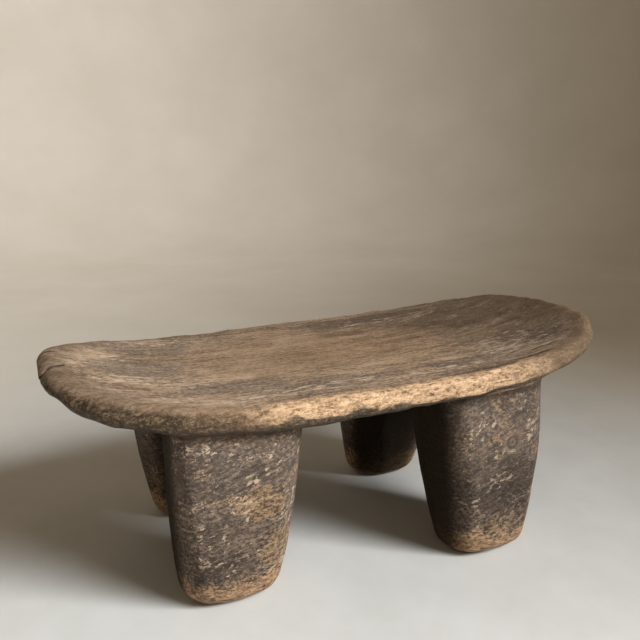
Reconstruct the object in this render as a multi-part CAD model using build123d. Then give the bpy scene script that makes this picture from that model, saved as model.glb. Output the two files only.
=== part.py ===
"""Carved four-legged wooden headrest: an oval, dished slab on four stout tapering legs.

The object is one block of wood. It is written as five closed solids that meet face to face: the
seat, which keeps a short root of each leg, and the four legs below a level cut through the roots.

Frame, in millimetres: +X along the length towards the higher end, +Y towards the back, +Z up.
The origin is on the floor, under the centre of the seat's plan.
"""

from build123d import *
import math
import os

# Seat, seen from above: a superellipse, slightly wider towards +X.
SEAT_LENGTH = 600.0
SEAT_WIDTH = 293.0
PLAN_TAPER = 0.05

# Seat, seen from the side: its middle layer is level in the middle and sweeps up at both ends.
SEAT_MID_HEIGHT = 190.8
REAR_DROP = 3.7
RIM_THICKNESS = 24.0
TOP_DISH = 4.0
UNDER_BELLY = 3.0
EDGE_RADIUS = 10.5

# Each end: how square its corners are in plan, how far and how abruptly it sweeps up, and how
# much higher its rear corner sits than its front one.
LEFT_END = {"exponent": 2.75, "rise": 33.5, "power": 4.0, "twist": 5.0}
RIGHT_END = {"exponent": 3.0, "rise": 32.5, "power": 3.15, "twist": -1.5}

# Grid of the two spline surfaces that bound the slab, and how far they run past the plan.
GRID_X = 17
GRID_Y = 9
GRID_MARGIN = 12.0
CUT_HEIGHT = 120.0

# Legs, with their centres on the floor, the shift of each centre from floor to seat, and the
# half-widths along X and Y at the seat and at the foot.
ROOT_CUT_HEIGHT = 168.0
LEG_TOP_HEIGHT = 190.0
TOP_EXPONENT = 3.0
FOOT_EXPONENT = 2.2
LEG_BELLY = 2.4
LEG_STATIONS = 5
FOOT_RADIUS = 18.0
LEGS = {
    "leg_front_left": {
        "foot": (-149.3, -68.5),
        "shift": (5.8, -7.5),
        "top": (61.5, 49.0),
        "base": (46.6, 34.5),
    },
    "leg_front_right": {
        "foot": (120.0, -107.0),
        "shift": (-6.5, 18.0),
        "top": (67.5, 52.4),
        "base": (46.5, 33.5),
    },
    "leg_rear_left": {
        "foot": (-147.0, 96.0),
        "shift": (-5.0, -3.5),
        "top": (60.0, 47.7),
        "base": (43.0, 34.4),
    },
    "leg_rear_right": {
        "foot": (106.3, 86.0),
        "shift": (5.0, -7.0),
        "top": (63.7, 50.9),
        "base": (43.0, 32.5),
    },
}

OUTLINE_POINTS = 48


def superellipse(half_x, half_y, exponent, angle):
    """The point of |x/half_x|^n + |y/half_y|^n = 1 in the direction of the angle."""
    c = math.cos(angle)
    s = math.sin(angle)
    reach = (abs(c / half_x) ** exponent + abs(s / half_y) ** exponent) ** (-1 / exponent)
    return reach * c, reach * s


def outline_face(point_at, height):
    """A level face inside a smooth closed curve, which starts at a corner rather than on a side."""
    points = []
    for i in range(OUTLINE_POINTS):
        angle = 2 * math.pi * i / OUTLINE_POINTS + math.pi / 4
        points.append(Vector(*point_at(angle), height))
    return Face(Wire([Edge.make_spline(points, periodic=True)]))


def end_at(x):
    return LEFT_END if x < 0 else RIGHT_END


def plan_point(angle):
    """A point of the seat's outline seen from above."""
    exponent = end_at(math.cos(angle))["exponent"]
    x, y = superellipse(SEAT_LENGTH / 2, SEAT_WIDTH / 2, exponent, angle)
    return x, y * (1 + PLAN_TAPER * x / (SEAT_LENGTH / 2))


def middle_height(x, y):
    """Height of the slab's middle layer."""
    end = end_at(x)
    along = abs(x) / (SEAT_LENGTH / 2)
    across = y / (SEAT_WIDTH / 2)
    tilt = end["twist"] * along**2 - REAR_DROP
    return SEAT_MID_HEIGHT + end["rise"] * along ** end["power"] + tilt * across


def hollow(y):
    """1 on the centre line, falling to 0 at the long edges."""
    across = min(abs(y) / (SEAT_WIDTH / 2), 1.0)
    return 1 - across**2


def top_height(x, y):
    return middle_height(x, y) + RIM_THICKNESS / 2 - TOP_DISH * hollow(y)


def under_height(x, y):
    return middle_height(x, y) - RIM_THICKNESS / 2 - UNDER_BELLY * hollow(y)


def height_surface(height):
    """A spline surface over the whole plan and a little past it."""
    reach_x = SEAT_LENGTH / 2 + GRID_MARGIN
    reach_y = SEAT_WIDTH / 2 + GRID_MARGIN
    rows = []
    for i in range(GRID_X):
        x = reach_x * (2 * i / (GRID_X - 1) - 1)
        row = []
        for j in range(GRID_Y):
            y = reach_y * (2 * j / (GRID_Y - 1) - 1)
            row.append(Vector(x, y, height(x, y)))
        rows.append(row)
    return Face.make_surface_from_array_of_points(rows)


def make_slab():
    """The plan's prism, cut by the top and under surfaces, with its rim rounded."""
    start = SEAT_MID_HEIGHT - CUT_HEIGHT / 2
    prism = Solid.extrude(outline_face(plan_point, start), Vector(0, 0, CUT_HEIGHT))
    above = Solid.extrude(height_surface(top_height), Vector(0, 0, CUT_HEIGHT))
    below = Solid.extrude(height_surface(under_height), Vector(0, 0, -CUT_HEIGHT))
    slab = (prism - above - below).solid()
    rim_edges = slab.edges().filter_by(lambda edge: edge.length > SEAT_LENGTH)
    return fillet(rim_edges, EDGE_RADIUS).solid()


def make_leg(leg):
    """A whole leg, from the floor to inside the slab, with its foot rounded over."""
    sections = []
    for i in range(LEG_STATIONS):
        share = i / (LEG_STATIONS - 1)
        swell = 1 - (1 - share) ** LEG_BELLY
        exponent = FOOT_EXPONENT + (TOP_EXPONENT - FOOT_EXPONENT) * share
        half_x, half_y = [base + (top - base) * swell for top, base in zip(leg["top"], leg["base"])]
        centre_x, centre_y = [foot + shift * share for foot, shift in zip(leg["foot"], leg["shift"])]

        def section_point(angle):
            x, y = superellipse(half_x, half_y, exponent, angle)
            return centre_x + x, centre_y + y

        sections.append(outline_face(section_point, LEG_TOP_HEIGHT * share))
    body = loft(sections)
    foot_edge = body.edges().sort_by(Axis.Z)[0]
    return fillet(foot_edge, FOOT_RADIUS).solid()


def level_block(bottom, top):
    """A block wider than the object between two heights, for cutting the legs at their roots."""
    height = top - bottom
    block = Box(2 * SEAT_LENGTH, 2 * SEAT_LENGTH, height)
    return block.moved(Location((0, 0, bottom + height / 2)))


def main():
    os.makedirs("parts", exist_ok=True)
    under_cut = level_block(-1, ROOT_CUT_HEIGHT)
    over_cut = level_block(ROOT_CUT_HEIGHT, LEG_TOP_HEIGHT + 1)
    seat = make_slab()
    for name, leg in LEGS.items():
        whole = make_leg(leg)
        export_step((whole & under_cut).solid(), f"parts/{name}.step")
        seat = seat + (whole & over_cut)
    export_step(seat.solid(), "parts/seat.step")


main()
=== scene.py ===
import itertools
import math
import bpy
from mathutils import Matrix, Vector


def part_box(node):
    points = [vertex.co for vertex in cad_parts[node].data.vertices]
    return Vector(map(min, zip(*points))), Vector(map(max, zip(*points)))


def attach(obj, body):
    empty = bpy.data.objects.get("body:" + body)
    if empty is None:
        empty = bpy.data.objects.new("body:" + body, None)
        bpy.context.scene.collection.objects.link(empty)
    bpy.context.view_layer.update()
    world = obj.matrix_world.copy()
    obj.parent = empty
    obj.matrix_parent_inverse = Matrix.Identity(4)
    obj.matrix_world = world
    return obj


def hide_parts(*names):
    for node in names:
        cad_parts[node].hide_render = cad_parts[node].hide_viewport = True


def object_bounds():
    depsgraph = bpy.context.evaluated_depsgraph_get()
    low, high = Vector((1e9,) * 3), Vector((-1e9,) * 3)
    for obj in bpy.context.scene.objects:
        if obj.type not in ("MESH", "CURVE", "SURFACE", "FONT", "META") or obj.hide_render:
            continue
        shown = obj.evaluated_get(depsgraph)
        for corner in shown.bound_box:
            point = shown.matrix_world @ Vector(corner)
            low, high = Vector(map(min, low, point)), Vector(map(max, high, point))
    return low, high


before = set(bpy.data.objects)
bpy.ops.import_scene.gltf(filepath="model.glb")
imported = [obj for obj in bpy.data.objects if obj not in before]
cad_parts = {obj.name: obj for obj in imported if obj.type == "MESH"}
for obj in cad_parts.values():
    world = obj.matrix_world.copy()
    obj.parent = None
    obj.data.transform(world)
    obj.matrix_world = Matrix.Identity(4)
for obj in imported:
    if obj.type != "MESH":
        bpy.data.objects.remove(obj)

from types import SimpleNamespace

import bmesh
import bpy
import numpy as np
from mathutils import Matrix, Vector

# The looks of a carved wooden headrest, in metres, in the CAD model's frame: +X along the length,
# +Y towards the back, +Z up. The five CAD regions are joined into one block, carved by moving its
# vertices, and parted again on the same level cut, so the wood runs on across the joins.

CAD_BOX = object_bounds()
BOX_INSET = 0.0002
NODE_SLOTS = {
    "seat": "seat_wood",
    "leg_front_left": "leg_wood",
    "leg_front_right": "leg_wood",
    "leg_rear_left": "leg_wood",
    "leg_rear_right": "leg_wood",
}
ROOT_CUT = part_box("leg_front_left")[1].z

VOXEL = 0.002

# The slab's plan and middle layer, as in the CAD model.
HALF_LENGTH = 0.300
HALF_WIDTH = 0.1465
PLAN_TAPER = 0.05
MIDDLE_HEIGHT = 0.1908
REAR_DROP = 0.0037
LEFT_END = {"exponent": 2.75, "rise": 0.0335, "power": 4.0, "twist": 0.0050}
RIGHT_END = {"exponent": 3.0, "rise": 0.0325, "power": 3.15, "twist": -0.0015}

# How far below the middle layer the slab gives way to the legs.
UNDERSIDE = 0.0165


# ---------------------------------------------------------------- numbers on arrays of points

def smooth(low, high, value):
    """0 below low, 1 above high, smooth between. It runs the other way if low is above high."""
    t = np.clip((value - low) / (high - low), 0, 1)
    return t * t * (3 - 2 * t)


def bell(distance, reach, power=2):
    """1 at no distance, falling away to 0 past the reach."""
    return np.exp(-((distance / reach) ** power))


def noise(points, size, seed):
    """Smooth gradient noise of about -1 to 1, with lumps size metres across, in all or each axis."""
    p = points / np.asarray(size)
    cell = np.floor(p).astype(np.int64)
    f = p - cell
    fade = f * f * f * (f * (f * 6 - 15) + 10)
    directions = np.random.RandomState(seed).normal(size=(1024, 3))
    directions /= np.linalg.norm(directions, axis=1, keepdims=True)
    total = np.zeros(len(points))
    for corner in itertools.product((0, 1), repeat=3):
        corner = np.array(corner)
        i, j, k = (cell + corner).T
        key = (i * 73856093) ^ (j * 19349663) ^ (k * 83492791) ^ (seed * 2654435761)
        slope = directions[(key ^ (key >> 13)) & 1023]
        weight = np.prod(np.where(corner == 1, fade, 1 - fade), axis=1)
        total += weight * np.einsum("ij,ij->i", slope, f - corner)
    return np.clip(total * 1.7, -1, 1)


def by_end(x, key):
    """One of the numbers that differ between the seat's two ends, at each point."""
    return np.where(x < 0, LEFT_END[key], RIGHT_END[key])


def plan_fraction(x, y):
    """0 at the middle of the seat's plan, 1 on its outline."""
    exponent = by_end(x, "exponent")
    across = np.abs(y) / (HALF_WIDTH * (1 + PLAN_TAPER * x / HALF_LENGTH))
    along = np.abs(x) / HALF_LENGTH
    return (along**exponent + across**exponent) ** (1 / exponent)


def middle_height(x, y):
    """Height of the slab's middle layer, as in the CAD model."""
    along = np.abs(x) / HALF_LENGTH
    rise = by_end(x, "rise") * along ** by_end(x, "power")
    tilt = by_end(x, "twist") * along**2 - REAR_DROP
    return MIDDLE_HEIGHT + rise + tilt * y / HALF_WIDTH


# ---------------------------------------------------------------- the block as one mesh

def block_mesh():
    """The five CAD regions as one skin, without the faces that they share at the root cut."""
    bm = bmesh.new()
    for name in NODE_SLOTS:
        bm.from_mesh(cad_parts[name].data)
    shared = [
        face for face in bm.faces
        if all(abs(v.co.z - ROOT_CUT) < 1e-5 for v in face.verts)
    ]
    bmesh.ops.delete(bm, geom=shared, context="FACES")
    bmesh.ops.remove_doubles(bm, verts=bm.verts[:], dist=2e-5)
    mesh = bpy.data.meshes.new("block")
    bm.to_mesh(mesh)
    bm.free()
    return mesh


def voxel_remeshed(mesh):
    """The mesh as an even grid of small quads."""
    carrier = bpy.data.objects.new("carrier", mesh)
    bpy.context.scene.collection.objects.link(carrier)
    remesh = carrier.modifiers.new("even", "REMESH")
    remesh.mode = "VOXEL"
    remesh.voxel_size = VOXEL * 1
    graph = bpy.context.evaluated_depsgraph_get()
    even = bpy.data.meshes.new_from_object(carrier.evaluated_get(graph))
    bpy.data.objects.remove(carrier)
    bpy.data.meshes.remove(mesh)
    return even


def vertex_rows(mesh, name):
    """The co or normal of every vertex, one row each."""
    values = np.zeros(len(mesh.vertices) * 3)
    mesh.vertices.foreach_get(name, values)
    return values.reshape(-1, 3)


def set_points(mesh, co):
    mesh.vertices.foreach_set("co", co.ravel())
    mesh.update()


def edges_of(mesh):
    ends = np.zeros(len(mesh.edges) * 2, np.int64)
    mesh.edges.foreach_get("vertices", ends)
    return ends.reshape(-1, 2)


def relaxed(values, edges, weight, rounds):
    """Values, one row a vertex, averaged with their neighbours' by weight, so many times over."""
    count = np.bincount(edges.ravel(), minlength=len(values))[:, None]
    weight = np.broadcast_to(np.asarray(weight, float).reshape(-1, 1), (len(values), 1))
    for _ in range(rounds):
        total = np.stack([
            np.bincount(edges[:, 0], values[edges[:, 1], k], len(values))
            + np.bincount(edges[:, 1], values[edges[:, 0], k], len(values))
            for k in range(values.shape[1])
        ], axis=1)
        values = values + weight * (total / count - values)
    return values


# ---------------------------------------------------------------- marks placed one by one

# Splits along the grain on the seat's top: start, end, depth and half-width.
SPLITS = [
    ((0.057, -0.080), (0.150, -0.096), 0.0009, 0.0014),
    ((0.128, -0.125), (0.202, -0.123), 0.0013, 0.0015),
    ((0.160, -0.110), (0.222, -0.106), 0.0012, 0.0014),
    ((0.080, -0.130), (0.140, -0.133), 0.0009, 0.0013),
    ((0.178, -0.092), (0.240, -0.084), 0.0010, 0.0013),
    ((0.010, -0.112), (0.072, -0.117), 0.0008, 0.0013),
    ((0.196, -0.060), (0.252, -0.052), 0.0008, 0.0013),
    ((-0.304, -0.034), (-0.275, -0.001), 0.0050, 0.0016),
    ((-0.302, 0.030), (-0.276, 0.035), 0.0022, 0.0014),
    ((-0.230, 0.070), (-0.170, 0.074), 0.0009, 0.0013),
    ((0.302, 0.020), (0.270, 0.026), 0.0026, 0.0015),
    ((0.080, 0.096), (0.170, 0.092), 0.0010, 0.0013),
    ((-0.120, 0.112), (-0.040, 0.116), 0.0010, 0.0013),
]
# A split deeper than this starts at full depth, on the rim. A shallower one fades in.
END_SPLIT_DEPTH = 0.0020
# Depth at which a cut or a split is shown at its darkest.
FULL_DIRT = 0.0011

# Where the top carries pale flecks, grey skin and dark stains: centre and reach along X and Y.
FLECKED = [
    ((-0.226, -0.034), (0.034, 0.014)),
    ((-0.233, 0.044), (0.022, 0.013)),
    ((-0.170, -0.046), (0.030, 0.010)),
    ((-0.268, 0.012), (0.020, 0.016)),
    ((-0.090, -0.104), (0.090, 0.010)),
    ((0.060, -0.108), (0.060, 0.008)),
    ((0.191, 0.053), (0.012, 0.006)),
    ((0.170, -0.070), (0.060, 0.030)),
    ((-0.190, 0.100), (0.060, 0.016)),
    ((0.120, 0.090), (0.070, 0.014)),
]
GREYED = [
    ((-0.142, -0.068), (0.060, 0.018)),
    ((-0.060, -0.096), (0.080, 0.013)),
    ((-0.215, 0.004), (0.050, 0.030)),
    ((-0.190, 0.080), (0.070, 0.022)),
    ((0.110, -0.098), (0.070, 0.014)),
    ((0.190, -0.080), (0.060, 0.028)),
    ((0.060, 0.108), (0.080, 0.016)),
]
STAINED = [
    ((0.255, 0.003), (0.040, 0.060)),
    ((0.190, 0.050), (0.060, 0.050)),
    ((0.080, 0.100), (0.090, 0.026)),
    ((0.100, 0.007), (0.010, 0.005)),
    ((0.030, 0.060), (0.030, 0.010)),
    ((0.215, -0.060), (0.040, 0.030)),
]

# Where the legs are rubbed through, and where their skin is whole: centre and reach along X and Z.
RUBBED = [
    ((-0.138, 0.110), (0.024, 0.016)),
    ((-0.170, 0.118), (0.016, 0.010)),
    ((-0.184, 0.146), (0.014, 0.012)),
    ((-0.118, 0.052), (0.012, 0.022)),
    ((-0.190, 0.060), (0.009, 0.022)),
    ((-0.160, 0.024), (0.040, 0.010)),
    ((0.152, 0.114), (0.008, 0.010)),
    ((0.135, 0.030), (0.030, 0.014)),
    ((0.158, 0.050), (0.008, 0.020)),
]
WHOLE = [
    ((-0.171, 0.088), (0.030, 0.011)),
    ((-0.160, 0.050), (0.022, 0.020)),
    ((-0.176, 0.130), (0.014, 0.008)),
    ((-0.120, 0.140), (0.030, 0.010)),
    ((0.110, 0.092), (0.045, 0.030)),
]

# The ring of a knot, with its dark heart, on the front right leg.
KNOT = (0.1235, -0.146, 0.1277)
KNOT_RADIUS = 0.0055
KNOT_RING = 0.0018
KNOT_HEART = 0.0022
KNOT_HALO = 0.0105
KNOT_DEPTH = 0.0009

# Bites out of the rim: centre, reach and depth.
CHIPS = [
    ((-0.299, -0.022, 0.231), 0.0075, 0.0034),
    ((-0.297, 0.006, 0.228), 0.0060, 0.0022),
    ((-0.288, -0.064, 0.224), 0.0060, 0.0018),
    ((0.256, -0.114, 0.222), 0.0070, 0.0030),
    ((0.270, -0.094, 0.216), 0.0060, 0.0026),
    ((0.287, -0.052, 0.224), 0.0055, 0.0020),
    ((0.120, -0.149, 0.198), 0.0060, 0.0014),
    ((-0.160, -0.143, 0.201), 0.0050, 0.0016),
    ((0.246, 0.118, 0.218), 0.0075, 0.0028),
    ((-0.210, 0.124, 0.206), 0.0065, 0.0024),
    ((0.020, 0.147, 0.196), 0.0070, 0.0018),
]

# Each leg's centre on the floor and its shift up to the seat, the azimuths, in degrees, of the
# soft ridges between its hewn faces, the direction of its side that gets painted shade, and how
# much it is darkened all over, partly patina and partly painted shade.
LEGS = {
    "leg_front_left": {
        "foot": (-0.1493, -0.0685),
        "shift": (0.0058, -0.0075),
        "ridges": (-142, -52, 8, 62, 118, 168),
        "sheltered": (-0.82, 0.57),
        "shade_and_patina": 0.0,
    },
    "leg_front_right": {
        "foot": (0.1200, -0.1070),
        "shift": (-0.0065, 0.0180),
        "ridges": (-136, -52, 5, 60, 120, 172),
        "sheltered": (-1.0, 0.1),
        "shade_and_patina": 0.19,
    },
    "leg_rear_left": {
        "foot": (-0.1470, 0.0960),
        "shift": (-0.0050, -0.0035),
        "ridges": (-140, -75, -15, 50, 105, 165),
        "sheltered": (0.3, -0.95),
        "shade_and_patina": 0.25,
    },
    "leg_rear_right": {
        "foot": (0.1063, 0.0860),
        "shift": (0.0050, -0.0070),
        "ridges": (-120, -62, 0, 58, 128, 178),
        "sheltered": (-0.4, -0.9),
        "shade_and_patina": 0.20,
    },
}
LEG_TOP_HEIGHT = 0.190
LEG_RADIUS = 0.055
FRONT_REAR_LINE = 0.005

# How far a hewn face sags inside the arc between its ridges, and the first ridge stands out.
HEWN_SHARE = 0.34
RIDGE_HEIGHT = 0.0022
RIDGE_REACH = 15
RIDGE_WANDER = 7
LEG_SWELL = 0.0016


# ---------------------------------------------------------------- where the marks fall

def zone_share(co, zones, second_axis=1):
    """How far each point lies in one of the zones, along X and a second axis, with wavering edges."""
    wander = 0.35 * noise(co, (0.030, 0.014, 0.03), 41)
    share = np.zeros(len(co))
    for (centre_x, centre_2), (reach_x, reach_2) in zones:
        along = (co[:, 0] - centre_x) / reach_x
        across = (co[:, second_axis] - centre_2) / reach_2
        share = np.maximum(share, smooth(1.5, 0.5, np.hypot(along, across) + wander))
    return share


def in_quarter(name, x, y):
    """Which points stand in the named leg's quarter of the plan."""
    return ((x < 0) == ("left" in name)) & ((y < FRONT_REAR_LINE) == ("front" in name))


def leg_of(x, y):
    """The leg node that a point below the root cut belongs to."""
    side = "left" if x < 0 else "right"
    return ("leg_front_" if y < FRONT_REAR_LINE else "leg_rear_") + side


def turned(angle, start):
    """The angle from start, in degrees, between -180 and 180."""
    return (angle - start + 180) % 360 - 180


def hewn_dip(co):
    """How far the legs' hewn faces lie inside the round section, all the way round each leg."""
    dip = np.zeros(len(co))
    x, y, z = co.T
    share = z / LEG_TOP_HEIGHT
    wander = RIDGE_WANDER * noise(co, (0.05, 0.05, 0.06), 21)
    for name, leg in LEGS.items():
        off_x = x - leg["foot"][0] - leg["shift"][0] * share
        off_y = y - leg["foot"][1] - leg["shift"][1] * share
        angle = np.degrees(np.arctan2(off_y, off_x)) + wander
        here = in_quarter(name, x, y)
        ridges = leg["ridges"]
        for start, end in zip(ridges, ridges[1:] + (ridges[0] + 360,)):
            half = (end - start) / 2
            u = turned(angle, (start + end) / 2) / half
            sag = LEG_RADIUS * (1 - math.cos(math.radians(half))) * HEWN_SHARE
            dip = np.where(here & (np.abs(u) <= 1), sag * (1 - u**2), dip)
        dip -= here * RIDGE_HEIGHT * bell(turned(angle, ridges[0]), RIDGE_REACH)
    return dip * (0.35 + 0.65 * smooth(0.010, 0.075, z))


def split_depth(co):
    """How far the splits cut into the wood at each point."""
    depth = np.zeros(len(co))
    x = co[:, 0]
    y = co[:, 1] + 0.0016 * noise(co, (0.018, 0.05, 0.05), 31)
    for start, end, deep, half in SPLITS:
        start, end = np.array(start), np.array(end)
        run = end - start
        t = ((x - start[0]) * run[0] + (y - start[1]) * run[1]) / (run @ run)
        inside = np.clip(t, 0, 1)
        away = np.hypot(x - start[0] - inside * run[0], y - start[1] - inside * run[1])
        if deep < END_SPLIT_DEPTH:
            fades = smooth(-0.02, 0.25, t) * smooth(1.02, 0.6, t)
        else:
            fades = smooth(1.05, 0.5, t)
        depth = np.maximum(depth, deep * fades * bell(away, half))
    return depth


# ---------------------------------------------------------------- carving

def softened(co, edges):
    """Takes the grid's steps off the skin, and rounds the roots of the legs further."""
    co = relaxed(co, edges, 0.5, 6)
    x, y, z = co.T
    near_root = smooth(-0.006, -0.020, z - middle_height(x, y)) * smooth(0.135, 0.165, z)
    co = relaxed(co, edges, 0.5 * near_root, 14)
    co[:, 2] = np.where(co[:, 2] < 0.0006, 0, co[:, 2])
    return co


def tip_undercut(co):
    """How far each point moves to make the left tip's rim a wedge, with its edge near the top."""
    x, y, z = co.T
    above_middle = z - middle_height(x, y)
    tip = smooth(-0.245, -0.299, x) * smooth(-0.125, -0.015, y)
    below = smooth(-0.001, -0.013, above_middle)
    lip = smooth(-0.010, -0.004, above_middle) * smooth(0.012, 0.004, above_middle)
    return np.stack([(0.0080 * below - 0.0016 * lip) * tip, 0 * x, 0.0015 * tip * below], axis=1)


def regions(co, normal, edge):
    """How far each point belongs to the seat and its top, underside and rim, and to the legs."""
    x, y, z = co.T
    up = normal[:, 2]
    above_middle = z - middle_height(x, y)
    seat = smooth(-UNDERSIDE, 0.005 - UNDERSIDE, above_middle)
    seat = np.maximum(seat, smooth(-0.55, -0.85, up) * smooth(0.150, 0.165, z))
    return SimpleNamespace(
        seat=seat,
        leg=1 - seat,
        top=seat * smooth(0.45, 0.85, up),
        under=seat * smooth(-0.3, -0.75, up),
        rim=seat * smooth(0.87, 0.96, edge),
        place=co,
        edge=edge,
        above_middle=above_middle,
        worn_hollow=bell(x, 0.17) * bell(y - 0.01, 0.085),
    )


def hand_shape(co, region):
    """The unevenness that a hand-carved block has, outwards."""
    shape = 0.0012 * noise(co, 0.13, 1) + 0.0007 * noise(co, 0.055, 2)
    rim_lumps = 0.0011 * noise(co, (0.034, 0.034, 0.022), 3) + 0.0006 * noise(co, 0.014, 4)
    leg_lumps = 0.0008 * noise(co, (0.035, 0.035, 0.06), 5)
    leg_lumps -= 0.0006 * np.abs(noise(co, (0.024, 0.024, 0.075), 6))
    shape += region.rim * rim_lumps
    shape += region.leg * (leg_lumps + LEG_SWELL - hewn_dip(co))
    shape += region.under * 0.0010 * noise(co, (0.030, 0.018, 0.03), 7)
    return shape


def tool_cuts(co, region):
    """Depth of the grain, furrows and pits of the seat and of the scratches and nicks on the legs."""
    x, y, z = co.T
    slant = np.stack([x, y, z - 0.28 * x + 0.1 * y], axis=1)
    grain = smooth(0.05, 0.75, noise(co, (0.085, 0.0060, 0.03), 8))
    furrow = smooth(0.15, 0.80, noise(co, (0.16, 0.0105, 0.05), 9))
    pits = smooth(0.20, 0.80, noise(co, (0.014, 0.0060, 0.0050), 10))
    scratches = smooth(0.10, 0.70, noise(slant, (0.032, 0.032, 0.0052), 11))
    nicks = smooth(0.35, 0.80, noise(slant, (0.012, 0.012, 0.006), 12))
    ends = smooth(0.10, 0.26, np.abs(x))
    rough_top = region.top * (1 - 0.75 * region.worn_hollow)
    cuts = rough_top * (0.00018 * grain + 0.00028 * furrow * (0.30 + 0.70 * ends))
    return cuts + region.rim * 0.00045 * pits + region.leg * 0.00030 * (scratches + nicks)


def chip_bites(co):
    """How far each point lies in a chip, and how deep the chips bite there."""
    chipped, depth = np.zeros(len(co)), np.zeros(len(co))
    ragged = 1 + 0.35 * noise(co, 0.006, 13)
    for centre, reach, deep in CHIPS:
        away = np.linalg.norm(co - np.array(centre), axis=1)
        bite = bell(away * ragged, reach, 4)
        chipped = np.maximum(chipped, bite)
        depth += deep * bite
    return chipped, depth


def boxed(co):
    """The points, kept above the floor and just inside the CAD model's box."""
    low = np.array([CAD_BOX[0][0] + BOX_INSET, CAD_BOX[0][1] + BOX_INSET, 0])
    high = np.array(CAD_BOX[1]) - BOX_INSET
    return np.clip(co, low, high)


def carve(mesh):
    """Moves the even skin's vertices to the hand-carved shape, and stores what it shows where."""
    edges = edges_of(mesh)
    co = softened(vertex_rows(mesh, "co"), edges)
    undercut = tip_undercut(co)
    co = co + undercut
    set_points(mesh, co)
    normal = vertex_rows(mesh, "normal")
    region = regions(co, normal, plan_fraction(co[:, 0] - undercut[:, 0], co[:, 1]))

    splits = split_depth(co) * (region.top + 0.9 * region.rim * (1 - region.top))
    off_knot = np.hypot(co[:, 0] - KNOT[0], co[:, 2] - KNOT[2]) + np.where(co[:, 1] < -0.05, 0, 1)
    knot_ring = bell(off_knot - KNOT_RADIUS, KNOT_RING)
    chipped, chip_depth = chip_bites(co)
    cuts = tool_cuts(co, region) + splits + KNOT_DEPTH * knot_ring + chip_depth
    off_floor = smooth(0.001, 0.012, co[:, 2])
    raised = (hand_shape(co, region) - cuts) * off_floor
    co = boxed(co + normal * raised[:, None])
    set_points(mesh, co)

    marks = seat_marks(co, normal, region)
    marks.update(leg_marks(co, normal, region, edges))
    marks.update({
        "cut": np.clip(cuts / FULL_DIRT, 0, 1),
        "split": np.clip(splits / FULL_DIRT, 0, 1),
        "chip": chipped,
        "knot": np.maximum(0.8 * knot_ring, bell(off_knot, KNOT_HEART)),
        "knot_halo": bell(off_knot, KNOT_HALO),
    })
    for name, values in marks.items():
        attribute = mesh.attributes.new(name, "FLOAT", "POINT")
        attribute.data.foreach_set("value", values.astype(np.float32))
    attribute = mesh.attributes.new("block_normal", "FLOAT_VECTOR", "POINT")
    attribute.data.foreach_set("vector", vertex_rows(mesh, "normal").astype(np.float32).ravel())


# What the wood shows where, from 0 to 1, read by the material. co holds the carved places, and
# region.place and normal those from before.

def seat_marks(co, normal, region):
    x, y, _ = region.place.T
    up = normal[:, 2]
    seat, top, rim, edge = region.seat, region.top, region.rim, region.edge
    front = smooth(0.15, -0.25, y / HALF_WIDTH)
    left_end = smooth(-0.205, -0.262, x + 0.02 * noise(co, 0.03, 14))
    low_reach = 0.30 * smooth(0.06, -0.06, x) * front
    lower_edge = smooth(-0.15, -0.60, up - low_reach + 0.30 * noise(co, (0.020, 0.012, 0.012), 15))
    worn = smooth(0.850, 0.985, edge + 0.025 * noise(co, (0.05, 0.02, 0.02), 16)) * seat
    worn *= (0.62 + 0.38 * front) * (1 - 0.85 * left_end) * (1 - lower_edge)
    worn *= (1 - 0.52 * smooth(0.10, 0.22, x)) * (1 - 0.52 * smooth(-0.10, -0.18, x))
    # Painted shade: darkest in the crease where the rim meets the underside, and over the whole
    # underside.
    crease = bell(region.above_middle + UNDERSIDE, 0.0055) * smooth(0.80, 0.93, edge)
    rim_side = smooth(0.86, 0.50, up + 0.12 * noise(co, (0.018, 0.010, 0.010), 19))
    return {
        "seat_share": seat,
        "top_share": top,
        "rim_share": rim,
        "worn": worn,
        "greasy": rim * left_end * (1 - top) + 0.6 * lower_edge * rim,
        "crease": np.clip(crease + 0.6 * region.under, 0, 1),
        "polish": region.worn_hollow * top,
        "flecked": zone_share(co, FLECKED) * top,
        "greyed": zone_share(co, GREYED) * top,
        "stained": zone_share(co, STAINED) * top,
        # Painted shade on the rim towards both ends, strongest at the right end.
        "rim_dull": rim * (smooth(0.09, 0.19, x) + 0.8 * smooth(-0.10, -0.17, x)),
        "left_rim": rim * smooth(-0.130, -0.215, x) * rim_side,
        "right_end": top * smooth(0.03, 0.24, x + 0.35 * y + 0.05 * noise(co, 0.08, 17)),
    }


def leg_marks(co, normal, region, edges):
    x, y, z = region.place.T
    sheltered, smoked = np.zeros(len(co)), np.zeros(len(co))
    for name, leg in LEGS.items():
        here = in_quarter(name, x, y)
        # Painted shade: how far each leg's skin faces its side turned away from the light.
        side = leg["sheltered"]
        facing = (normal[:, 0] * side[0] + normal[:, 1] * side[1]) / np.hypot(*side)
        sheltered = np.where(here, smooth(0.40, 0.88, facing), sheltered)
        # Painted shade, partly patina: each leg is darkened all over by its own set amount.
        smoked = np.where(here, leg["shade_and_patina"], smoked)
    smoked = relaxed(smoked[:, None], edges, 0.8, 12)[:, 0]
    return {
        "foot": region.leg * smooth(0.048, 0.006, z + 0.014 * noise(co, 0.02, 18)),
        "smoked": region.leg * smoked,
        "upper": region.leg * smooth(0.060, 0.150, z),
        "sheltered": region.leg * sheltered,
        "rubbed": 0.5 + 0.5 * zone_share(co, RUBBED, 2) - 0.5 * zone_share(co, WHOLE, 2),
    }


MARKS = [
    "seat_share", "top_share", "rim_share", "worn", "greasy", "crease", "polish", "flecked",
    "greyed", "stained", "rim_dull", "left_rim", "right_end", "foot", "smoked", "upper",
    "sheltered", "rubbed", "cut", "split", "chip", "knot", "knot_halo",
]


# ---------------------------------------------------------------- parting the block again

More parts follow.
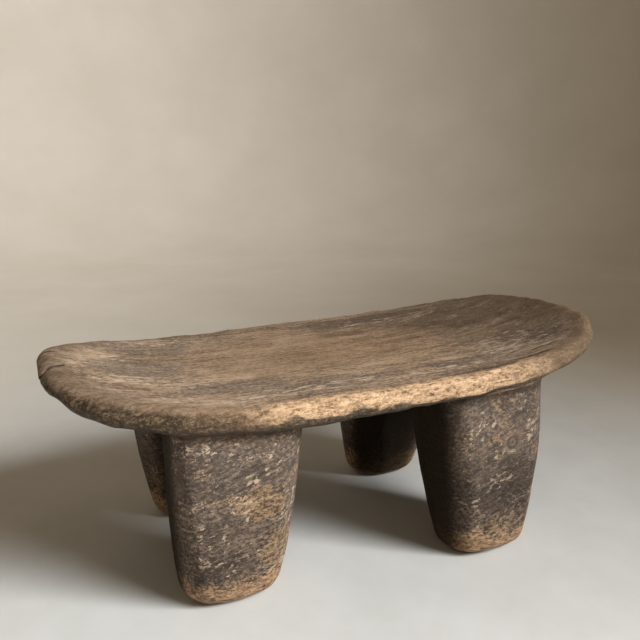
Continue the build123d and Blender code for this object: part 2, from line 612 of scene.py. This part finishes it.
def cut_share(mesh, name):
    """The share of the carved block that stands for one CAD node, closed at the root cut."""
    bm = bmesh.new()
    bm.from_mesh(mesh)
    cut = bmesh.ops.bisect_plane(
        bm, geom=bm.verts[:] + bm.edges[:] + bm.faces[:], dist=1e-7,
        plane_co=(0, 0, ROOT_CUT), plane_no=(0, 0, 1),
    )
    for element in cut["geom_cut"]:
        if isinstance(element, bmesh.types.BMVert):
            element.co.z = ROOT_CUT
    strangers = []
    for face in bm.faces:
        centre = face.calc_center_median()
        owner = "seat" if centre.z > ROOT_CUT else leg_of(centre.x, centre.y)
        if owner != name:
            strangers.append(face)
    bmesh.ops.delete(bm, geom=strangers, context="FACES")
    open_edges = [edge for edge in bm.edges if edge.is_boundary]
    caps = bmesh.ops.holes_fill(bm, edges=open_edges, sides=0)["faces"]
    bmesh.ops.triangulate(bm, faces=caps)
    for face in bm.faces:
        face.smooth = True
    share = bpy.data.meshes.new(name + "_carved")
    bm.to_mesh(share)
    bm.free()
    return share


def shade_as_block(mesh, cap_direction):
    """Gives both sides of a join the whole block's normals, so it doesn't show. The caps stay flat."""
    block_normal = mesh.attributes["block_normal"]
    vector = np.zeros(len(mesh.vertices) * 3)
    block_normal.data.foreach_get("vector", vector)
    owners = np.zeros(len(mesh.loops), np.int64)
    mesh.loops.foreach_get("vertex_index", owners)
    corner = vector.reshape(-1, 3)[owners]
    for polygon in mesh.polygons:
        if abs(polygon.normal.z) > 0.999 and abs(polygon.center.z - ROOT_CUT) < 1e-5:
            corner[polygon.loop_start:polygon.loop_start + polygon.loop_total] = cap_direction
    corner /= np.linalg.norm(corner, axis=1, keepdims=True) + 1e-12
    mesh.normals_split_custom_set(corner.tolist())
    mesh.attributes.remove(mesh.attributes["block_normal"])


def part(block, name):
    """One piece of the block."""
    mesh = cut_share(block, name)
    shade_as_block(mesh, (0, 0, -1 if name == "seat" else 1))
    piece = bpy.data.objects.new(name + "_carved", mesh)
    bpy.context.scene.collection.objects.link(piece)
    return piece


# ---------------------------------------------------------------- node-based materials

class Tree:
    """Short names for the nodes that a material is made of. Sockets and numbers mix freely."""

    def __init__(self, name):
        self.material = bpy.data.materials.new(name)
        self.material.use_nodes = True
        self.nodes = self.material.node_tree.nodes
        self.links = self.material.node_tree.links
        self.nodes.clear()
        self.place = self.nodes.new("ShaderNodeTexCoord").outputs["Object"]

    def plug(self, socket, value):
        if isinstance(value, bpy.types.NodeSocket):
            self.links.new(value, socket)
        else:
            socket.default_value = value

    def math(self, operation, a, b=0.0):
        node = self.nodes.new("ShaderNodeMath")
        node.operation = operation
        self.plug(node.inputs[0], a)
        self.plug(node.inputs[1], b)
        return node.outputs[0]

    def add(self, a, b):
        return self.math("ADD", a, b)

    def times(self, a, b):
        return self.math("MULTIPLY", a, b)

    def less(self, a, b):
        return self.math("SUBTRACT", a, b)

    def invert(self, a):
        return self.math("SUBTRACT", 1.0, a)

    def blend(self, *shares):
        """The sum of pairs of a value and its weight."""
        total = self.times(*shares[0])
        for value, weight in shares[1:]:
            total = self.add(total, self.times(value, weight))
        return total

    def scaled(self, factors, slant=0.0):
        """The place in the block, stretched. slant tips its level planes up towards +X."""
        place = self.place
        if slant:
            apart = self.nodes.new("ShaderNodeSeparateXYZ")
            self.links.new(place, apart.inputs[0])
            lifted = self.less(apart.outputs[2], self.times(apart.outputs[0], slant))
            joined = self.nodes.new("ShaderNodeCombineXYZ")
            self.links.new(apart.outputs[0], joined.inputs[0])
            self.links.new(apart.outputs[1], joined.inputs[1])
            self.links.new(lifted, joined.inputs[2])
            place = joined.outputs[0]
        node = self.nodes.new("ShaderNodeVectorMath")
        node.operation = "MULTIPLY"
        self.links.new(place, node.inputs[0])
        node.inputs[1].default_value = factors
        return node.outputs[0]

    def noise(self, factors, detail, rough, bend=0.0, slant=0.0):
        node = self.nodes.new("ShaderNodeTexNoise")
        self.links.new(self.scaled(factors, slant), node.inputs["Vector"])
        node.inputs["Scale"].default_value = 1.0
        node.inputs["Detail"].default_value = detail
        node.inputs["Roughness"].default_value = rough
        node.inputs["Distortion"].default_value = bend
        return node.outputs["Fac"]

    def step(self, low, high, value):
        """0 below low, 1 above high, or the other way if low is above high."""
        node = self.nodes.new("ShaderNodeMapRange")
        node.interpolation_type = "SMOOTHSTEP"
        self.plug(node.inputs["Value"], value)
        node.inputs["From Min"].default_value = min(low, high)
        node.inputs["From Max"].default_value = max(low, high)
        node.inputs["To Min"].default_value = 0.0 if low < high else 1.0
        node.inputs["To Max"].default_value = 1.0 if low < high else 0.0
        return node.outputs["Result"]

    def shown(self, name):
        """An attribute that was stored on the mesh."""
        node = self.nodes.new("ShaderNodeAttribute")
        node.attribute_name = name
        return node.outputs["Fac"]

    def ramp(self, value, stops):
        node = self.nodes.new("ShaderNodeValToRGB")
        self.plug(node.inputs[0], value)
        elements = node.color_ramp.elements
        while len(elements) < len(stops):
            elements.new(0.5)
        for element, (at, colour) in zip(elements, stops):
            element.position = at
            element.color = (*colour, 1.0)
        return node.outputs["Color"]

    def mix(self, share, a, b):
        node = self.nodes.new("ShaderNodeMix")
        node.data_type = "RGBA"
        node.clamp_factor = True
        self.plug(node.inputs[0], share)
        for socket, value in ((node.inputs[6], a), (node.inputs[7], b)):
            if isinstance(value, tuple):
                value = (*value, 1.0)
            self.plug(socket, value)
        return node.outputs[2]

    def bump(self, height, distance, below=None):
        node = self.nodes.new("ShaderNodeBump")
        node.inputs["Strength"].default_value = 1.0
        node.inputs["Distance"].default_value = distance
        self.links.new(height, node.inputs["Height"])
        if below is not None:
            self.links.new(below, node.inputs["Normal"])
        return node.outputs["Normal"]

    def finish(self, colour, roughness, specular, normal=None):
        shader = self.nodes.new("ShaderNodeBsdfPrincipled")
        self.plug(shader.inputs["Base Color"], colour)
        self.plug(shader.inputs["Roughness"], roughness)
        self.plug(shader.inputs["Specular IOR Level"], specular)
        if normal is not None:
            self.plug(shader.inputs["Normal"], normal)
        output = self.nodes.new("ShaderNodeOutputMaterial")
        self.links.new(shader.outputs[0], output.inputs["Surface"])
        return self.material


# Colours of the wood, by how high a texture stands.
OPEN_TOP = (0.430, (0.105, 0.072, 0.049)), (0.50, (0.300, 0.209, 0.138)), (0.570, (0.520, 0.378, 0.260))
RUBBED_TOP = (0.415, (0.165, 0.099, 0.050)), (0.50, (0.285, 0.179, 0.101)), (0.585, (0.420, 0.276, 0.162))
GREY_TOP = (0.40, (0.062, 0.049, 0.042)), (0.60, (0.240, 0.185, 0.150))
RAW_RIM = (0.405, (0.130, 0.070, 0.033)), (0.47, (0.460, 0.285, 0.155)), (0.56, (0.820, 0.550, 0.335))
DARK_RIM = (0.41, (0.036, 0.024, 0.015)), (0.50, (0.110, 0.074, 0.045)), (0.60, (0.290, 0.195, 0.120))
OLIVE_RIM = (0.42, (0.022, 0.014, 0.007)), (0.50, (0.066, 0.043, 0.023)), (0.58, (0.260, 0.175, 0.100))
UNDERSIDE_WOOD = (0.42, (0.040, 0.028, 0.020)), (0.60, (0.120, 0.082, 0.056))
LEG_SKIN = (0.415, (0.036, 0.025, 0.019)), (0.50, (0.100, 0.070, 0.052)), (0.585, (0.290, 0.204, 0.146))
LEG_RUBBED = (0.43, (0.120, 0.072, 0.038)), (0.57, (0.500, 0.318, 0.182))
SOLE = (0.41, (0.080, 0.042, 0.022)), (0.49, (0.300, 0.180, 0.095)), (0.57, (0.620, 0.400, 0.230))


def wood_textures(t):
    """The grain along the block, the mottle of its skin and the slanting scratches of its legs."""
    fine = t.noise((480, 620, 620), 3, 0.7)
    speck = t.noise((240, 360, 360), 4, 0.75)
    mottle = t.noise((75, 300, 280), 5, 0.75)
    return SimpleNamespace(
        broad=t.noise((7, 60, 60), 5, 0.62, 0.3),
        streak=t.noise((62, 235, 235), 5, 0.72, 0.2),
        cloud=t.noise((11, 17, 17), 5, 0.62),
        fine=fine,
        speck=speck,
        mottle=t.blend((mottle, 0.50), (fine, 0.15), (speck, 0.35)),
        slant=t.noise((46, 46, 330), 5, 0.74, 0.35, slant=0.30),
    )


def top_colour(t, tex, mark, tone):
    """Brown and smoother in the worn hollow, greyer and flecked towards the ends."""
    colour = t.mix(t.times(mark.polish, 0.9), t.ramp(tone, OPEN_TOP), t.ramp(tone, RUBBED_TOP))
    patchy = t.add(t.noise((22, 60, 60), 6, 0.72), -0.5)
    grey = t.step(0.30, 0.80, t.add(mark.greyed, t.times(patchy, 1.6)))
    colour = t.mix(t.times(grey, 0.42), colour, t.ramp(tex.speck, GREY_TOP))
    stain = t.step(0.25, 0.85, t.add(mark.stained, t.times(patchy, 1.3)))
    colour = t.mix(t.times(stain, 0.45), colour, (0.070, 0.045, 0.028))
    chance = t.add(t.noise((64, 240, 220), 4, 0.66), t.times(t.add(mark.flecked, -0.4), 0.120))
    fleck = t.times(t.step(0.585, 0.625, chance), t.invert(t.times(mark.polish, 0.75)))
    colour = t.mix(t.times(fleck, 0.85), colour, (0.620, 0.465, 0.335))
    dashes = t.step(0.42, 0.34, t.noise((30, 190, 190), 4, 0.68))
    dash = t.times(dashes, t.add(t.times(mark.right_end, 0.6), 0.22))
    colour = t.mix(dash, colour, (0.050, 0.034, 0.025))
    return t.mix(t.times(mark.right_end, 0.42), colour, (0.060, 0.040, 0.025))


def seat_colour(t, tex, mark):
    """The top, and a rim of raw pale wood, streaked and specked, ragged where dark skin is left."""
    tone = t.blend((tex.broad, 0.20), (tex.streak, 0.28), (tex.cloud, 0.20), (tex.speck, 0.32))
    ragged = t.times(t.add(t.noise((36, 110, 120), 6, 0.76), -0.5), 2.0)
    bare = t.times(t.step(0.15, 0.85, t.add(mark.worn, ragged)), t.step(0.02, 0.40, mark.worn))
    dark_skin = t.ramp(t.blend((tex.cloud, 0.35), (tex.speck, 0.65)), DARK_RIM)
    off_top = t.invert(t.times(mark.top_share, 0.92))
    colour = t.mix(t.times(mark.rim_share, off_top), top_colour(t, tex, mark, tone), dark_skin)
    below = t.step(0.1, 0.5, t.times(t.invert(mark.top_share), t.invert(mark.rim_share)))
    colour = t.mix(below, colour, t.ramp(tone, UNDERSIDE_WOOD))
    colour = t.mix(bare, colour, t.ramp(tex.mottle, RAW_RIM))
    # Painted shade: the rim darkened towards both ends.
    colour = t.mix(t.times(mark.rim_dull, 0.70), colour, (0.150, 0.094, 0.054))
    return t.mix(t.times(mark.left_rim, 0.86), colour, t.ramp(tex.mottle, OLIVE_RIM))


def leg_colour(t, tex, mark):
    """Dark skin, darker on three legs, partly patina and partly painted shade, scratched across on a
    slant and rubbed through in patches, with painted shade on each leg's shaded side.
    """
    # The pale marks below are muted on the painted-shade side of each leg.
    unshaded_share = t.invert(t.times(mark.sheltered, 0.85))
    colour = t.ramp(t.blend((tex.cloud, 0.28), (tex.speck, 0.72)), LEG_SKIN)
    colour = t.mix(t.times(mark.upper, 0.22), colour, (0.300, 0.232, 0.186))

    worn_noise = t.noise((20, 20, 28), 6, 0.74, 0.5)
    patch = t.blend((worn_noise, 0.62), (tex.speck, 0.24), (tex.slant, 0.14))
    drift = t.times(t.add(t.noise((14, 14, 18), 2, 0.5), -0.5), 0.22)
    drift = t.add(drift, t.times(t.add(mark.rubbed, -0.62), 0.20))
    patch = t.times(t.step(0.50, 0.575, t.add(patch, drift)), 0.84)
    colour = t.mix(t.times(patch, unshaded_share), colour, t.ramp(tex.speck, LEG_RUBBED))
    colour = t.mix(t.times(t.step(0.42, 0.05, mark.rubbed), 0.38), colour, (0.040, 0.027, 0.019))

    dark_line = t.step(0.46, 0.36, tex.slant)
    colour = t.mix(t.times(dark_line, 0.62), colour, (0.034, 0.023, 0.017))
    zone = t.step(0.40, 0.60, t.noise((21, 21, 24), 4, 0.6))
    scratch = t.times(t.times(t.step(0.53, 0.64, tex.slant), unshaded_share), t.add(t.times(zone, 0.42), 0.12))
    colour = t.mix(scratch, colour, (0.470, 0.352, 0.250))
    clusters = t.step(0.44, 0.62, t.noise((44, 44, 50), 4, 0.65))
    chance = t.noise((155, 155, 235), 4, 0.72, 0.5, slant=0.22)
    fleck = t.step(0.57, 0.62, t.add(chance, t.times(t.add(clusters, -0.62), 0.11)))
    colour = t.mix(t.times(t.times(fleck, unshaded_share), 0.84), colour, (0.680, 0.520, 0.365))

    shin = t.times(t.times(t.invert(mark.upper), t.invert(mark.foot)), 0.24)
    colour = t.mix(shin, colour, (0.045, 0.031, 0.022))
    # Painted shade, partly patina: three legs darkened all over.
    colour = t.mix(mark.smoked, colour, (0.030, 0.020, 0.014))
    at_foot = t.step(0.18, 0.74, t.add(mark.foot, t.times(t.add(tex.speck, -0.5), 1.6)))
    colour = t.mix(t.times(at_foot, 0.88), colour, t.ramp(tex.mottle, SOLE))
    # Painted shade: each leg's side turned away from the light, nearly black.
    return t.mix(t.times(mark.sheltered, 0.90), colour, (0.016, 0.009, 0.004))


def aged_wood(name):
    """One old block of wood: greyed on top, rubbed bright on the rim, dark on the legs, partly patina and
    partly painted shade, with painted shade on the legs' shaded sides, the rim's ends, the underside and
    the crease below the rim.
    """
    t = Tree(name)
    mark = SimpleNamespace(**{key: t.shown(key) for key in MARKS})
    tex = wood_textures(t)
    colour = t.mix(mark.seat_share, leg_colour(t, tex, mark), seat_colour(t, tex, mark))

    # Dirt in cuts and splits, painted shade in the crease below the rim and on the underside, fresh
    # pinkish wood in the chips, and the knot.
    colour = t.mix(t.times(t.step(0.15, 0.9, mark.cut), 0.30), colour, (0.055, 0.036, 0.024))
    colour = t.mix(t.times(mark.chip, 0.45), colour, (0.420, 0.265, 0.180))
    colour = t.mix(t.times(t.step(0.30, 0.9, mark.split), 0.85), colour, (0.018, 0.011, 0.008))
    colour = t.mix(t.times(mark.crease, 0.72), colour, (0.036, 0.023, 0.015))
    colour = t.mix(t.times(mark.knot_halo, 0.50), colour, (0.400, 0.300, 0.215))
    colour = t.mix(t.times(mark.knot, 0.92), colour, (0.030, 0.020, 0.014))

    roughness = t.add(t.times(tex.fine, 0.22), 0.58)
    roughness = t.less(roughness, t.times(mark.polish, 0.12))
    roughness = t.less(roughness, t.times(mark.greasy, 0.26))
    # Less specular on the painted-shade side of the legs.
    specular = t.less(0.25, t.times(mark.sheltered, 0.17))

    relief = t.blend((tex.streak, 0.8), (tex.speck, 0.8))
    normal = t.bump(t.times(relief, t.add(t.times(mark.rim_share, 0.4), 0.6)), 0.0022)
    normal = t.bump(t.times(tex.slant, t.invert(mark.seat_share)), 0.0015, normal)
    return t.finish(colour, roughness, specular, normal)


# ---------------------------------------------------------------- making the pieces

block = voxel_remeshed(block_mesh())
carve(block)
wood = aged_wood("aged_wood")
for node, slot_name in NODE_SLOTS.items():
    piece = part(block, node)
    piece.data.materials.clear()
    piece.data.materials.append(wood)
    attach(piece, "root")
    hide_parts(node)
bpy.data.meshes.remove(block)


# ---------------------------------------------------------------- stage, light and camera

FLOOR_RINGS = [0.2, 0.4, 0.7, 1.1, 1.6, 2.0]
FLOOR_RADIUS = 2.0
WALL_CURVE = 0.8
WALL_TOP = 3.2
CURVE_STEPS = 12
SIDES = 96

PALE_FLOOR = (0.35, (0.600, 0.592, 0.562)), (0.65, (0.660, 0.652, 0.625))
BEIGE_WALL = (0.35, (0.690, 0.655, 0.585)), (0.65, (0.740, 0.705, 0.640))


def backdrop_mesh():
    """A wide round floor that curves up into a wall."""
    profile = [(radius, 0.0) for radius in FLOOR_RINGS]
    for i in range(1, CURVE_STEPS + 1):
        turn = math.pi / 2 * i / CURVE_STEPS
        radius = FLOOR_RADIUS + WALL_CURVE * math.sin(turn)
        profile.append((radius, WALL_CURVE * (1 - math.cos(turn))))
    profile.append((FLOOR_RADIUS + WALL_CURVE, WALL_TOP))
    turns = [2 * math.pi * k / SIDES for k in range(SIDES)]
    bm = bmesh.new()
    rings = [
        [bm.verts.new((radius * math.cos(turn), radius * math.sin(turn), height)) for turn in turns]
        for radius, height in profile
    ]
    centre = bm.verts.new((0, 0, 0))
    for k in range(SIDES):
        bm.faces.new((centre, rings[0][k], rings[0][(k + 1) % SIDES]))
    for inner, outer in zip(rings, rings[1:]):
        for k in range(SIDES):
            following = (k + 1) % SIDES
            bm.faces.new((inner[k], outer[k], outer[following], inner[following]))
    for face in bm.faces:
        face.smooth = True
    mesh = bpy.data.meshes.new("backdrop")
    bm.to_mesh(mesh)
    bm.free()
    return mesh


def backdrop_paint():
    """Pale on the floor, with a beige tone that starts away from the object."""
    t = Tree("backdrop_paint")
    pale = t.ramp(t.noise((9, 9, 9), 6, 0.62), PALE_FLOOR)
    beige = t.ramp(t.noise((3, 3, 3), 5, 0.6), BEIGE_WALL)
    length = t.nodes.new("ShaderNodeVectorMath")
    length.operation = "LENGTH"
    t.links.new(t.place, length.inputs[0])
    away = t.step(0.42, 0.80, length.outputs["Value"])
    return t.finish(t.mix(away, pale, beige), 0.8, 0.2)


def backdrop():
    floor = bpy.data.objects.new("backdrop", backdrop_mesh())
    bpy.context.scene.collection.objects.link(floor)
    floor.data.materials.append(backdrop_paint())


def area_light(name, place, aim, side, power, colour, spread):
    light = bpy.data.lights.new(name, "AREA")
    light.shape = "RECTANGLE"
    light.size = light.size_y = side
    light.energy = power
    light.color = colour
    light.spread = math.radians(spread)
    lamp = bpy.data.objects.new(name, light)
    lamp.location = place
    lamp.rotation_euler = (Vector(aim) - Vector(place)).to_track_quat("-Z", "Y").to_euler()
    bpy.context.scene.collection.objects.link(lamp)


def camera(place, heading, dip, lens):
    """A camera that looks heading radians round from +Y towards +X, and dip radians down."""
    level = math.cos(dip)
    ahead = Vector((math.sin(heading) * level, math.cos(heading) * level, -math.sin(dip)))
    right = Vector((math.cos(heading), -math.sin(heading), 0))
    up = right.cross(ahead)
    data = bpy.data.cameras.new("camera")
    data.sensor_width = 36
    data.lens = lens
    data.clip_start = 0.01
    eye = bpy.data.objects.new("camera", data)
    eye.matrix_world = Matrix((
        (right.x, up.x, -ahead.x, place[0]),
        (right.y, up.y, -ahead.y, place[1]),
        (right.z, up.z, -ahead.z, place[2]),
        (0, 0, 0, 1),
    ))
    bpy.context.scene.collection.objects.link(eye)
    bpy.context.scene.camera = eye


def room_light(colour, strength):
    world = bpy.data.worlds.new("room")
    world.use_nodes = True
    background = world.node_tree.nodes["Background"]
    background.inputs["Color"].default_value = (*colour, 1)
    background.inputs["Strength"].default_value = strength
    bpy.context.scene.world = world


backdrop()
area_light("window", (1.37, -1.96, 1.81), (-0.50, -0.38, 0), 1.2, 15, (0.95, 0.98, 1.0), 46)
area_light("wall_wash", (-0.40, 0.20, 2.40), (-0.25, 2.70, 0.70), 1.0, 19, (1.0, 0.975, 0.94), 96)
room_light((1.0, 0.76, 0.52), 0.21)
bpy.context.scene.view_settings.view_transform = "Standard"
camera((-0.3005, -0.5980, 0.4059), 0.4358, 0.2520, 36.08)
